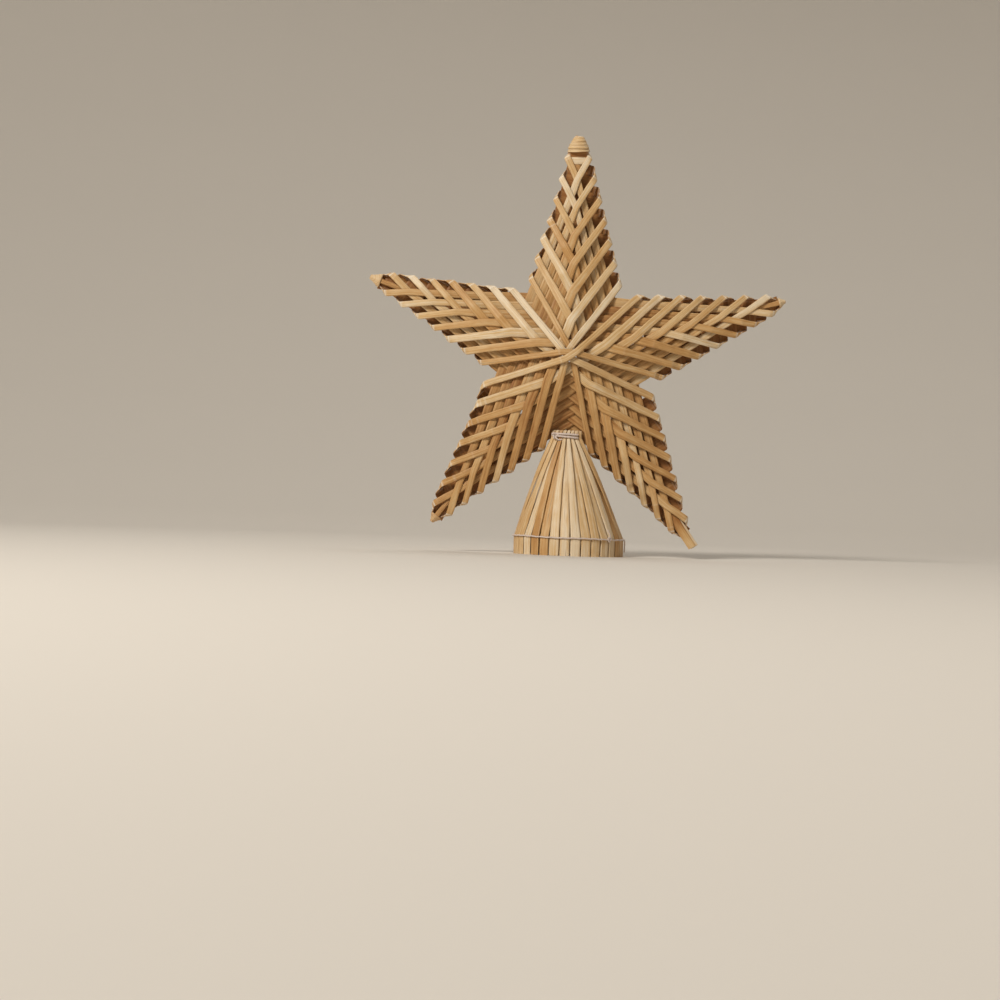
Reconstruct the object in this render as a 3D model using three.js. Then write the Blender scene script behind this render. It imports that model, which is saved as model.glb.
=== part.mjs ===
// Straw star tree topper: a five-pointed star wound from flattened straws, standing on a
// cone-shaped skirt of straws that slides over the top shoot of a tree.
//
// How the real one is made, and how it is built here:
// - Each winding straw starts behind one arm, folds over that arm's edge to the front, crosses the
//   arm's middle, runs past the centre of the star, crosses the middle of the next arm but one,
//   folds over its far edge and runs back across behind it. The straws that come over an arm's
//   two edges lie side by side behind it, so that the arm is closed at the back.
// - Seven such courses of five straws are laid, the first at the tips and the last in the notches,
//   and every straw lies on top of all the straws laid before it. That alone gives the chevrons on
//   the arms and the raised knot of straws in the middle.
// - A short straw plug is caught in the first courses at each tip.
// - The skirt is sixteen straws bent double, half of them in front of the star's lowest notch and
//   half behind it, held by a binding at the neck and by a thread round the foot.
//
// Millimetres. +Z is up, the star faces -Y, and the origin is the middle of the skirt's open foot.
import * as THREE from "three";

// ---- Driving dimensions -------------------------------------------------------------------------

const CENTRE_HEIGHT = 119.4; // star centre above the foot of the skirt
const CENTRE_OFFSET = -3.8; // and to the side of the foot's middle, because the star leans a little
const COURSES = 7;
const STRAW_WIDTH = 4.4;
const STRAW_THICKNESS = 0.85;
const LAY_GAP = 0.2; // air between straws that cross
const END_GAP = 2.8; // from a straw's end behind an arm to the fold line of the edge there
const EDGE_DEPTH = 2.1; // from the star's middle plane to a straw where it turns over a bare edge
const BACK_SLANT = 0.35; // how far a straw slants behind an arm, in courses along the edge
const FIRST_TARGET = 0.15; // the nearest place to the tips that one runs to, in courses
const EDGE_INSET = 1.8; // from the outermost line of the folds to where they begin
const LAST_CORNER = 0.08; // place of the last course on an edge, as a share of it from the notch
const LAST_CORNER_AT_NECK = 0.2; // the same on the two edges that the skirt's neck pushes apart
const FIRST_CROSSING = 0.895; // where the first course crosses an arm's middle line
const LAST_CROSSING = 0.03; // where the last course does, both as shares of the shoulder's distance

// One entry for each arm, clockwise from the top one as seen from the front. Bearings are in
// degrees clockwise from straight up. The shoulder is where the first course turns over the
// edges, and the notch is the one after the arm, on its clockwise side. The plug is a list of
// [distance from the star's centre, width, thickness] from its hidden end to the tip.
const ARMS = [
  {
    name: "top",
    bearing: 0.8,
    shoulder: 118.5,
    shoulderHalf: 7.8,
    notch: 48.4,
    notchBearing: 41,
    plug: [
      [98, 4.4, 2.8],
      [124.1, 4.4, 2.8],
      [125, 12.2, 6.4],
      [128.6, 11, 6],
      [132.4, 6.4, 4],
    ],
  },
  {
    name: "right",
    bearing: 73.8,
    shoulder: 123.7,
    shoulderHalf: 6.6,
    notch: 52.2,
    notchBearing: 107.5,
    plug: [
      [102, 2.8, 2.8],
      [129.4, 2.8, 2.8],
      [130.4, 7, 4.6],
      [134.6, 2.2, 2],
    ],
  },
  {
    name: "lower_right",
    bearing: 144.9,
    shoulder: 120,
    shoulderHalf: 6.8,
    notch: 44.4,
    notchBearing: 178.8,
    plug: [
      [98, 3, 2.8],
      [125.5, 3, 2.8],
      [126.5, 6.6, 4.2],
      [133, 5.8, 3.6],
      [137.4, 6.8, 4.2],
    ],
  },
  {
    name: "lower_left",
    bearing: 217.7,
    shoulder: 118,
    shoulderHalf: 6.7,
    notch: 47.1,
    notchBearing: 257,
    plug: [
      [96, 2.8, 2.8],
      [123.4, 2.8, 2.8],
      [124.2, 8, 4.6],
      [129.2, 2.6, 2.2],
    ],
  },
  {
    name: "left",
    bearing: 289.9,
    shoulder: 115.3,
    shoulderHalf: 7,
    notch: 44.6,
    notchBearing: 324.5,
    plug: [
      [94, 3, 2.8],
      [120.8, 3, 2.8],
      [121.6, 9, 4.8],
      [128.6, 3.4, 2.4],
    ],
  },
];
const NECK_NOTCH = 2; // the notch after the lower right arm holds the skirt's neck

const SKIRT_STRAWS = 16; // each bent double, so there are twice as many legs
const FOOT_RADIUS = 32.3; // to the middle of a straw's thickness
const THREAD_HEIGHT = 10.6; // the straws stand straight up to here
const THREAD_SLANT = 0.8; // degrees, down to the right
const THREAD_DIAMETER = 0.9;
const NECK_HEIGHT = 70;
const NECK_MIDDLE = -3; // the neck leans to the left of the foot's middle
const NECK_HALF_WIDTH = 9.2;
const NECK_DEPTH = 8.6; // from the star's middle plane to the outer straws of the neck, in front
const NECK_DEPTH_BEHIND = 6.4;
const NECK_ROUNDING = 2.6; // how far the neck's row of straws curves back at its ends
const SKIRT_TOP = 74.6; // where the straws are bent over
const BEND_HEIGHT = 1.2; // of the bend, above its two legs
const INNER_SETBACK = 1.6; // the inner leg of a bent straw lies this far behind the outer one
const NECK_LEG_WIDTH = 1.7;
const BEND_SQUEEZE = 0.75; // a straw is narrower where it is bent over, by this share
const MIDDLE_LEG_WIDTH = 3.4;
const FOOT_LEG_WIDTH = 5.9;
const LEG_THICKNESS = 1;
const BINDING_HEIGHT = 71.6;
const BINDING_WIDTH = 3.2;
const BINDING_THICKNESS = 1;

const STRAW_COLOUR = 0xd2a874;
const SKIRT_COLOUR = 0xd9b98a;
const PLUG_COLOUR = 0xc08a4c;
const THREAD_COLOUR = 0xd8c6b4;

// ---- Small helpers ------------------------------------------------------------------------------

const FRONT = new THREE.Vector3(0, -1, 0);
const BACK = new THREE.Vector3(0, 1, 0);
const UP = new THREE.Vector3(0, 0, 1);
const radians = THREE.MathUtils.degToRad;
const mix = THREE.MathUtils.lerp;
const star = new THREE.Group();

// A plan point is a Vector2 in the star's plane, from its centre: x to the right and y up.
const bearingToPlan = (degrees, radius) =>
  new THREE.Vector2(radius * Math.sin(radians(degrees)), radius * Math.cos(radians(degrees)));

// From a plan point and its height in front of the star's middle plane to a point in space.
const toSpace = (plan, height) =>
  new THREE.Vector3(CENTRE_OFFSET + plan.x, -height, CENTRE_HEIGHT + plan.y);
const planDirection = (plan) => new THREE.Vector3(plan.x, 0, plan.y);

function addMesh(name, geometry, colour) {
  const material = new THREE.MeshStandardMaterial({ color: colour, roughness: 0.62, metalness: 0 });
  const mesh = new THREE.Mesh(geometry, material);
  mesh.name = name;
  star.add(mesh);
  return mesh;
}

// A straw is a box, cut across at each station and laid along them. A station holds the middle
// of the straw there, the way that its flat side faces, and its width and thickness.
function strawAlong(stations) {
  const cuts = stations.length - 1;
  const geometry = new THREE.BoxGeometry(1, 1, 1, 1, 1, cuts);
  const frames = stations.map((station, i) => {
    const before = stations[Math.max(i - 1, 0)].at;
    const after = stations[Math.min(i + 1, cuts)].at;
    const along = after.clone().sub(before).normalize();
    const across = station.faces.clone().cross(along).normalize();
    return { across, out: along.clone().cross(across) };
  });
  const corner = geometry.getAttribute("position");
  for (let i = 0; i < corner.count; i++) {
    const s = Math.round((corner.getZ(i) + 0.5) * cuts);
    const place = stations[s].at
      .clone()
      .addScaledVector(frames[s].across, corner.getX(i) * stations[s].width)
      .addScaledVector(frames[s].out, corner.getY(i) * stations[s].thickness);
    corner.setXYZ(i, place.x, place.y, place.z);
  }
  geometry.computeVertexNormals();
  return geometry;
}

const strawStation = (at, faces) => ({ at, faces, width: STRAW_WIDTH, thickness: STRAW_THICKNESS });

// ---- The arms' plan -----------------------------------------------------------------------------

const armAt = (i) => ARMS[((i % ARMS.length) + ARMS.length) % ARMS.length];

for (const arm of ARMS) {
  arm.axis = bearingToPlan(arm.bearing, 1);
  arm.clockwise = bearingToPlan(arm.bearing + 90, 1);
  arm.notchPoint = bearingToPlan(arm.notchBearing, arm.notch);
}

// Where a course turns over an edge of an arm. Side +1 is the clockwise edge and -1 the other.
function cornerOf(armIndex, side, course) {
  const arm = armAt(armIndex);
  const notchIndex = side > 0 ? armIndex : armIndex - 1;
  const notchArm = armAt(notchIndex);
  const last = notchArm === ARMS[NECK_NOTCH] ? LAST_CORNER_AT_NECK : LAST_CORNER;
  const shoulder = arm.axis
    .clone()
    .multiplyScalar(arm.shoulder)
    .addScaledVector(arm.clockwise, side * arm.shoulderHalf);
  const edge = shoulder.clone().sub(notchArm.notchPoint).normalize();
  const inwards = new THREE.Vector2(side * edge.y, -side * edge.x).negate();
  return notchArm.notchPoint
    .clone()
    .lerp(shoulder, mix(1, last, course / (COURSES - 1)))
    .addScaledVector(inwards, EDGE_INSET);
}

function crossingOf(armIndex, course) {
  const arm = armAt(armIndex);
  const share = mix(FIRST_CROSSING, LAST_CROSSING, course / (COURSES - 1));
  return arm.axis.clone().multiplyScalar(arm.shoulder * share);
}

// ---- Laying the straws over each other ----------------------------------------------------------

// What lies on the star's front so far: a line of plan points, a profile of [distance, height]
// pairs along it, and its width and thickness.
const laidPieces = [];

const lengthsAlong = (points) => {
  const lengths = [0];
  for (let i = 1; i < points.length; i++) {
    lengths.push(lengths[i - 1] + points[i].distanceTo(points[i - 1]));
  }
  return lengths;
};

function pointAlong(points, lengths, s) {
  let i = 1;
  while (i < points.length - 1 && lengths[i] < s) i++;
  return points[i - 1].clone().lerp(points[i], (s - lengths[i - 1]) / (lengths[i] - lengths[i - 1]));
}

function heightAlong(profile, s) {
  let i = 1;
  while (i < profile.length - 1 && profile[i][0] < s) i++;
  const [start, startHeight] = profile[i - 1];
  const [end, endHeight] = profile[i];
  return mix(startHeight, endHeight, (s - start) / (end - start));
}

// How high a laid piece's upper side is at a plan point, or nothing where it doesn't pass there.
function topAt(laid, point) {
  let top = -Infinity;
  for (let i = 1; i < laid.points.length; i++) {
    const start = laid.points[i - 1];
    const run = laid.points[i].clone().sub(start);
    const share = THREE.MathUtils.clamp(point.clone().sub(start).dot(run) / run.lengthSq(), 0, 1);
    const nearest = start.clone().addScaledVector(run, share);
    if (nearest.distanceTo(point) > laid.width / 2) continue;
    const s = laid.lengths[i - 1] + share * run.length();
    top = Math.max(top, heightAlong(laid.profile, s) + laid.thickness / 2);
  }
  return top;
}

const SIDE_SAMPLES = [-0.56, -0.28, 0, 0.28, 0.56]; // across a straw, in widths

// The least height that a straw needs at a place on its line, to clear all that lies there. The
// spread widens the strip that is looked at.
function heightNeeded(at, along, spread) {
  const sideways = new THREE.Vector2(along.y, -along.x);
  let top = -Infinity;
  for (const side of SIDE_SAMPLES) {
    const probe = at.clone().addScaledVector(sideways, side * spread * STRAW_WIDTH);
    for (const laid of laidPieces) top = Math.max(top, topAt(laid, probe));
  }
  return top + LAY_GAP + STRAW_THICKNESS / 2;
}

// A straw is pulled tight over what lies under it, so its line is the upper hull of the heights
// that it needs, from one edge to the other.
function tightLine(needed) {
  const hull = [];
  for (const point of needed) {
    while (hull.length > 1) {
      const [s0, h0] = hull[hull.length - 2];
      const [s1, h1] = hull[hull.length - 1];
      if ((h1 - h0) * (point[0] - s0) > (point[1] - h0) * (s1 - s0)) break;
      hull.pop();
    }
    hull.push(point);
  }
  return hull;
}

const SAMPLE_STEP = 0.7;
const LOOK_AHEAD = 0.1; // to the next place on a line, for its direction
const FOLD_PROBES = [-0.8, 0, 0.8, 1.6, 2.4, 3.2, 4]; // how far out a fold is tested
const FOLD_GROWTH = 0.1;
const FOLD_SPREAD = 1.4; // a fold slides along the edge as it turns, so it takes more width

// Behind an arm, the straws of its clockwise edge lie outside those of the other edge.
const depthBehind = (side) => EDGE_DEPTH + (side > 0 ? STRAW_THICKNESS + LAY_GAP : 0);

// A fold is a half circle from the back of the star to this height on the front, grown until it
// goes round all that lies on the edge.
function edgeHeight(corner, outward, side) {
  const inside = STRAW_THICKNESS / 2 + LAY_GAP;
  const probes = FOLD_PROBES.map((reach) => {
    const needed = heightNeeded(corner.clone().addScaledVector(outward, reach), outward, FOLD_SPREAD);
    return { reach: Math.max(reach, 0), top: needed - inside };
  }).filter((probe) => probe.top > -Infinity);
  let height = EDGE_DEPTH;
  const isTooTight = ({ reach, top }) => {
    const radius = (height + depthBehind(side)) / 2;
    return top > 0 && Math.hypot(reach, top - (height - radius)) > radius - inside;
  };
  while (probes.some(isTooTight)) height += FOLD_GROWTH;
  return height;
}

// From the counter-clockwise edge of an arm, over that arm's middle line, past the centre, over
// the middle line of the next arm but one, to that arm's clockwise edge.
function layStraw(armIndex, course) {
  const points = [
    cornerOf(armIndex, -1, course),
    crossingOf(armIndex, course),
    crossingOf(armIndex + 2, course),
    cornerOf(armIndex + 2, 1, course),
  ];
  const lengths = lengthsAlong(points);
  const whole = lengths[3];
  const startWay = points[0].clone().sub(points[1]).normalize();
  const endWay = points[3].clone().sub(points[2]).normalize();
  const steps = Math.ceil(whole / SAMPLE_STEP);
  const needed = [[0, edgeHeight(points[0], startWay, -1)]];
  for (let i = 1; i < steps; i++) {
    const s = (whole * i) / steps;
    const at = pointAlong(points, lengths, s);
    const along = pointAlong(points, lengths, s + LOOK_AHEAD).sub(at).normalize();
    const height = heightNeeded(at, along, 1);
    if (height > -Infinity) needed.push([s, height]);
  }
  needed.push([whole, edgeHeight(points[3], endWay, 1)]);
  const laid = {
    points,
    lengths,
    profile: tightLine(needed),
    startWay,
    endWay,
    width: STRAW_WIDTH,
    thickness: STRAW_THICKNESS,
  };
  laidPieces.push(laid);
  return laid;
}

// ---- The plugs in the tips ----------------------------------------------------------------------

for (const arm of ARMS) {
  const stations = arm.plug.map(([distance, width, thickness]) => ({
    at: toSpace(arm.axis.clone().multiplyScalar(distance), 0),
    faces: FRONT,
    width,
    thickness,
  }));
  addMesh(`tip_${arm.name}`, strawAlong(stations), PLUG_COLOUR);

  // The winding lies over the plug's hidden end.
  const [[from, width, thickness], [to]] = arm.plug;
  const points = [from, to].map((distance) => arm.axis.clone().multiplyScalar(distance));
  const profile = [[0, 0], [to - from, 0]];
  laidPieces.push({ points, lengths: lengthsAlong(points), profile, width, thickness });
}

// ---- The winding --------------------------------------------------------------------------------

const FOLD_STEPS = 4;
const LEAST_STEP = 0.5; // between two stations of a run

// A fold carries a straw from its way on the front to its way on the back, round a crease that
// halves the angle between the two, as a flat strip folds.
function foldOver(corner, frontWay, backWay, height, depth) {
  const radius = (height + depth) / 2;
  const crease = frontWay.clone().add(backWay).normalize();
  const slope = frontWay.dot(crease);
  const outward = frontWay.clone().addScaledVector(crease, -slope).normalize();
  const slide = slope / Math.sqrt(1 - slope ** 2);
  const stations = [];
  for (let i = 0; i <= FOLD_STEPS; i++) {
    const turn = (Math.PI * i) / FOLD_STEPS;
    const plan = corner
      .clone()
      .addScaledVector(crease, radius * turn * slide)
      .addScaledVector(outward, radius * Math.sin(turn));
    const faces = FRONT.clone()
      .multiplyScalar(Math.cos(turn))
      .addScaledVector(planDirection(outward), Math.sin(turn));
    stations.push(strawStation(toSpace(plan, radius * Math.cos(turn) + height - radius), faces));
  }
  return stations;
}

// One end of a straw, from its corner round to the arm's back and across it to the other edge.
function endOfStraw(armIndex, course, corner, frontWay, side, height) {
  const depth = depthBehind(side);
  const targetCourse = Math.max(course - side * BACK_SLANT, FIRST_TARGET);
  const target = cornerOf(armIndex, -side, targetCourse);
  const backWay = target.clone().sub(corner).normalize();
  const fold = foldOver(corner, frontWay, backWay, height, depth);
  const last = fold[FOLD_STEPS].at;
  const plan = new THREE.Vector2(last.x - CENTRE_OFFSET, last.z - CENTRE_HEIGHT);
  const edge = cornerOf(armIndex, -side, 0).sub(cornerOf(armIndex, -side, COURSES - 1)).normalize();
  const toEdge = target.clone().sub(plan).cross(edge) / backWay.cross(edge) - END_GAP;
  const end = strawStation(toSpace(plan.addScaledVector(backWay, toEdge), -depth), BACK);
  return [...fold, end];
}

function addWindingStraw(armIndex, course) {
  const laid = layStraw(armIndex, course);
  const whole = laid.lengths[3];
  const distances = [laid.lengths[1], laid.lengths[2], ...laid.profile.map(([s]) => s)]
    .filter((s) => s > LEAST_STEP && s < whole - LEAST_STEP)
    .sort((a, b) => a - b)
    .filter((s, i, all) => i === 0 || s - all[i - 1] > LEAST_STEP);
  const run = distances.map((s) => {
    const plan = pointAlong(laid.points, laid.lengths, s);
    return strawStation(toSpace(plan, heightAlong(laid.profile, s)), FRONT);
  });
  const startHeight = laid.profile[0][1];
  const endHeight = laid.profile[laid.profile.length - 1][1];
  const start = endOfStraw(armIndex, course, laid.points[0], laid.startWay, -1, startHeight);
  const end = endOfStraw(armIndex + 2, course, laid.points[3], laid.endWay, 1, endHeight);
  const straw = strawAlong([...start.reverse(), ...run, ...end]);
  addMesh(`straw_${armAt(armIndex).name}_${course + 1}`, straw, STRAW_COLOUR);
}

const WINDING_ORDER = [0, 2, 4, 1, 3]; // each straw starts on the arm where the one before it ended
for (let course = 0; course < COURSES; course++) {
  for (const armIndex of WINDING_ORDER) addWindingStraw(armIndex, course);
}

// ---- The skirt ----------------------------------------------------------------------------------

const LEG_STEP = 360 / (2 * SKIRT_STRAWS);
const MIDDLE_HEIGHT = (NECK_HEIGHT + THREAD_HEIGHT) / 2;
const WALL_STEP = 0.5; // degrees to each side, for the wall's direction

// Where the skirt's wall is at a height: a round foot, a flattened neck, and straight between.
// The angle is in degrees from the front (face +1) or from the back (face -1) of the skirt.
function wallPoint(angle, face, height) {
  const toNeck = THREE.MathUtils.clamp((height - THREAD_HEIGHT) / (NECK_HEIGHT - THREAD_HEIGHT), 0, 1);
  const across = angle / 90;
  const neckDepth = (face > 0 ? NECK_DEPTH : NECK_DEPTH_BEHIND) - NECK_ROUNDING * across ** 2;
  const x = mix(FOOT_RADIUS * Math.sin(radians(angle)), NECK_MIDDLE + NECK_HALF_WIDTH * across, toNeck);
  const depth = mix(FOOT_RADIUS * Math.cos(radians(angle)), neckDepth, toNeck);
  return new THREE.Vector3(x, -depth * face, height);
}

function wallNormal(angle, face, height) {
  const after = wallPoint(angle + WALL_STEP, face, height);
  const before = wallPoint(angle - WALL_STEP, face, height);
  return after.sub(before).cross(UP).multiplyScalar(face).normalize();
}

function legStation(angle, face, height, width, setback) {
  const faces = wallNormal(angle, face, height);
  const at = wallPoint(angle, face, height).addScaledVector(faces, -setback);
  return { at, faces, width, thickness: LEG_THICKNESS };
}

const skirtLeg = (angle, face, setback) => [
  legStation(angle, face, SKIRT_TOP - BEND_HEIGHT, NECK_LEG_WIDTH, setback),
  legStation(angle, face, NECK_HEIGHT, NECK_LEG_WIDTH, setback),
  legStation(angle, face, MIDDLE_HEIGHT, MIDDLE_LEG_WIDTH, setback),
  legStation(angle, face, THREAD_HEIGHT, FOOT_LEG_WIDTH, 0),
  legStation(angle, face, 0, FOOT_LEG_WIDTH, 0),
];

function addSkirtStraw(number, angle, face) {
  const outer = skirtLeg(angle - LEG_STEP / 2, face, 0).reverse();
  const inner = skirtLeg(angle + LEG_STEP / 2, face, INNER_SETBACK);
  const bend = {
    at: outer[outer.length - 1].at.clone().lerp(inner[0].at, 0.5).setZ(SKIRT_TOP),
    faces: UP,
    width: NECK_LEG_WIDTH * BEND_SQUEEZE,
    thickness: LEG_THICKNESS,
  };
  for (const station of inner) station.faces.negate();
  addMesh(`skirt_straw_${number}`, strawAlong([...outer, bend, ...inner]), SKIRT_COLOUR);
}

for (let i = 0; i < SKIRT_STRAWS; i++) {
  const half = SKIRT_STRAWS / 2;
  const face = i < half ? 1 : -1;
  addSkirtStraw(i + 1, ((i % half) - (half - 1) / 2) * 2 * LEG_STEP, face);
}

// ---- The thread round the foot and the binding at the neck --------------------------------------

const THREAD_SIDES = 6;
const THREAD_STEPS = 48;
const ringRadius = FOOT_RADIUS + (LEG_THICKNESS + THREAD_DIAMETER) / 2 + LAY_GAP;
const ring = new THREE.TorusGeometry(ringRadius, THREAD_DIAMETER / 2, THREAD_SIDES, THREAD_STEPS);
const thread = addMesh("skirt_thread", ring, THREAD_COLOUR);
thread.position.z = THREAD_HEIGHT;
thread.rotation.y = radians(THREAD_SLANT);

const BINDING_REACH = [-74, -52, -30, -8, 14, 36, 56]; // degrees on the wall, from side to side

function addBinding(name, face) {
  const stations = BINDING_REACH.map((angle) => {
    const faces = wallNormal(angle, face, BINDING_HEIGHT);
    const standOff = (LEG_THICKNESS + BINDING_THICKNESS) / 2 + LAY_GAP;
    const at = wallPoint(angle, face, BINDING_HEIGHT).addScaledVector(faces, standOff);
    return { at, faces, width: BINDING_WIDTH, thickness: BINDING_THICKNESS };
  });
  addMesh(name, strawAlong(stations), THREAD_COLOUR);
}

addBinding("neck_binding_front", 1);
addBinding("neck_binding_back", -1);

export default star;
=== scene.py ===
# %% [markdown]
# # A straw star for the top of a tree
#
# The star is wound from straws that were soaked, pressed flat and laid over each other while they
# were still soft. Each straw starts behind one arm, turns over its edge, crosses the front and
# ends behind another arm. A skirt of straws under the star slips over a tree's top shoot.
#
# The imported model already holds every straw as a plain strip, in its true place. This lesson puts
# a real-looking straw around each strip: one straw is modelled well, then copied and bent.

# %% Load the frame
import math
import random

import bmesh
import bpy
import numpy as np
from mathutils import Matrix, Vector


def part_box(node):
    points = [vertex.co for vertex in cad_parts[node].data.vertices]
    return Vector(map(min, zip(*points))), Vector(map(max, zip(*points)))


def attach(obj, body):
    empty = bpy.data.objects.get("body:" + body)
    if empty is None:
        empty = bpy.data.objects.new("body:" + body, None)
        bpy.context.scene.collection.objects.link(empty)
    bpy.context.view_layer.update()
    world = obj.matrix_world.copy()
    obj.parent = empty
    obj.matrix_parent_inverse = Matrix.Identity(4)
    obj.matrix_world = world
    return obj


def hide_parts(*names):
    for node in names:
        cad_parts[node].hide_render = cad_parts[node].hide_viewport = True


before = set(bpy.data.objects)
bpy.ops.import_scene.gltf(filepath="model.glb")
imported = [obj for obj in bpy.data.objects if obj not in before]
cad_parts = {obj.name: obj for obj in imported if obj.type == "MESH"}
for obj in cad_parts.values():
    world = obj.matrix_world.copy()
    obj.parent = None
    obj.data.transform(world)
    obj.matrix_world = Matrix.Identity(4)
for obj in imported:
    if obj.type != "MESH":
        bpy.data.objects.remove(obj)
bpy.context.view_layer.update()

MM = 0.001

# %% [markdown]
# ## The camera
#
# The camera comes first, because it decides which details earn their faces. It stands level with
# the lower part of the skirt, and it is turned a little, so the star seems to lean as a topper
# does on a real tree.

# %% Camera
CAMERA_PLACE = Vector((-0.042, -1.42, 0.0316))
CAMERA_LENS = 85  # millimetres, on a sensor of 36
LEAN = math.radians(-2)

camera_data = bpy.data.cameras.new("camera")
camera_data.lens = CAMERA_LENS
camera_data.sensor_width = 36
camera = bpy.data.objects.new("camera", camera_data)
camera.location = CAMERA_PLACE
camera.rotation_euler = (math.radians(90), LEAN, 0)
bpy.context.scene.collection.objects.link(camera)
bpy.context.scene.camera = camera

# %% [markdown]
# ## Reading a straw's line from its strip
#
# A packed strip is a box that was cut across at stations and laid along them, with four corners
# at each. An end is known by its size. From there the corners are gathered ring by ring, and each
# ring gives the straw's middle, the way across it, and the way that its flat side faces. So the
# new straws take their lines from the frame, and only the size of a strip's end is given here.

# %% Gather the stations
MERGE_DISTANCE = 1e-6
SIZE_TOLERANCE = 2e-5


def deselect():
    bpy.ops.object.select_all(action="DESELECT")


def is_end(edge, width, thickness):
    """Whether the two triangles at an edge make a rectangle of a straw's width and thickness."""
    sides = sorted(e.calc_length() for f in edge.link_faces for e in f.edges if e is not edge)
    wanted = (thickness, thickness, width, width)
    return all(abs(side - want) < SIZE_TOLERANCE for side, want in zip(sides, wanted))


def rings_from(end):
    """Sets of corners, each joined to the one before it, starting with those of an end."""
    ring = {corner for face in end.link_faces for corner in face.verts}
    rings, found = [], set()
    while ring:
        rings.append(ring)
        found |= ring
        ring = {edge.other_vert(v) for v in ring for edge in v.link_edges} - found
    return rings


def rings_of(node, width, thickness):
    """The corner points of a strip's stations, in millimetres, from one end to the other."""
    mesh = bmesh.new()
    mesh.from_mesh(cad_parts[node].data)
    bmesh.ops.remove_doubles(mesh, verts=mesh.verts, dist=MERGE_DISTANCE)
    for edge in mesh.edges:
        if not is_end(edge, width * MM, thickness * MM):
            continue
        rings = rings_from(edge)
        # A short stretch of the side can have an end's size, but doesn't give fours all the way.
        if all(len(ring) == 4 for ring in rings):
            break
    points = [np.array([corner.co for corner in ring]) / MM for ring in rings]
    mesh.free()
    return points


def stations_of(node, width, thickness):
    """Middles, ways across, widths and thicknesses of a strip's stations."""
    middles, acrosses, widths, depths = [], [], [], []
    for ring in rings_of(node, width, thickness):
        # Two corners that are a thickness apart are one edge of the strip.
        pairings = (((0, 1), (2, 3)), ((0, 2), (1, 3)), ((0, 3), (1, 2)))
        apart = [sum(np.linalg.norm(ring[a] - ring[b]) for a, b in pairs) for pairs in pairings]
        (a, b), (c, d) = pairings[int(np.argmin(apart))]
        across = (ring[a] + ring[b] - ring[c] - ring[d]) / 2
        if acrosses and across @ acrosses[-1] < 0:
            across = -across
        middles.append(ring.mean(axis=0))
        widths.append(np.linalg.norm(across))
        depths.append(min(apart) / 2)
        acrosses.append(across / widths[-1])
    return np.array(middles), np.array(acrosses), np.array(widths), np.array(depths)


# %% Turn a line round, or lengthen it
def starting_near(stations, box):
    """The stations, turned round if their other end is nearer to a box."""
    target = (np.array(box[0]) + np.array(box[1])) / 2 / MM
    middles = stations[0]
    if np.linalg.norm(middles[0] - target) <= np.linalg.norm(middles[-1] - target):
        return stations
    return tuple(values[::-1] for values in stations)


def lengthen(stations, reach):
    """Draws both ends out by some millimetres."""
    middles = stations[0].copy()
    for end, neighbour in ((0, 1), (-1, -2)):
        away = middles[end] - middles[neighbour]
        middles[end] = middles[end] + away / np.linalg.norm(away) * reach
    return (middles, *stations[1:])


# %% [markdown]
# A line of straight stretches would show every corner. The line is sampled finely and blurred
# along its length, just enough that a bend becomes a small curve and a fold keeps its facets.

# %% Soften a line
SAMPLE = 0.2  # millimetres between two samples of a line


def unit(vectors):
    return vectors / np.linalg.norm(vectors, axis=-1, keepdims=True)


def blur(values, softness):
    """A blur along a line, by a bell curve of this width in millimetres, that keeps the ends."""
    reach = int(3 * softness / SAMPLE) + 1
    bell = np.exp(-0.5 * (np.arange(-reach, reach + 1) * SAMPLE / softness) ** 2)
    bell /= bell.sum()
    before = 2 * values[:1] - values[reach:0:-1]
    after = 2 * values[-1:] - values[-2 : -reach - 2 : -1]
    long = np.concatenate([before, values, after])
    return np.apply_along_axis(lambda column: np.convolve(column, bell, "valid"), 0, long)


def soften(stations, softness):
    """A straw's line as finely spaced samples, with its own ways along, across and out."""
    middles, acrosses, widths, depths = stations
    places = np.r_[0, np.cumsum(np.linalg.norm(np.diff(middles, axis=0), axis=1))]
    fine = np.arange(0, places[-1], SAMPLE)
    columns = np.c_[middles, acrosses, widths, depths]
    sampled = np.stack([np.interp(fine, places, column) for column in columns.T], axis=1)
    sampled = blur(sampled, softness)
    middle = sampled[:, 0:3]
    along = unit(np.gradient(middle, axis=0))
    across = sampled[:, 3:6]
    across = unit(across - along * (across * along).sum(axis=1, keepdims=True))
    out = np.cross(across, along)
    turning = np.linalg.norm(np.gradient(along, SAMPLE, axis=0), axis=1)
    return {
        "place": fine,
        "middle": middle,
        "along": along,
        "across": across,
        "out": out,
        "width": sampled[:, 6],
        "depth": sampled[:, 7],
        "turning": turning,
    }


def face_towards(line, sample, way):
    """Turns a line over if its flat side doesn't face this way at a sample."""
    if line["out"][sample] @ np.array(way) < 0:
        line["out"] = -line["out"]
        line["across"] = -line["across"]
    return line


# %% [markdown]
# ## One good straw
#
# A pressed straw is a flat tube: its two walls lie on each other, its edges are folded round, and
# fine ribs run along it. It is drawn as a circle whose points are moved onto that section,
# extruded by one step, and repeated by an Array modifier. The same way gives the threads later.
# Both ends of the straw are pressed open a little, so a cut end shows the slit inside the tube.

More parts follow.
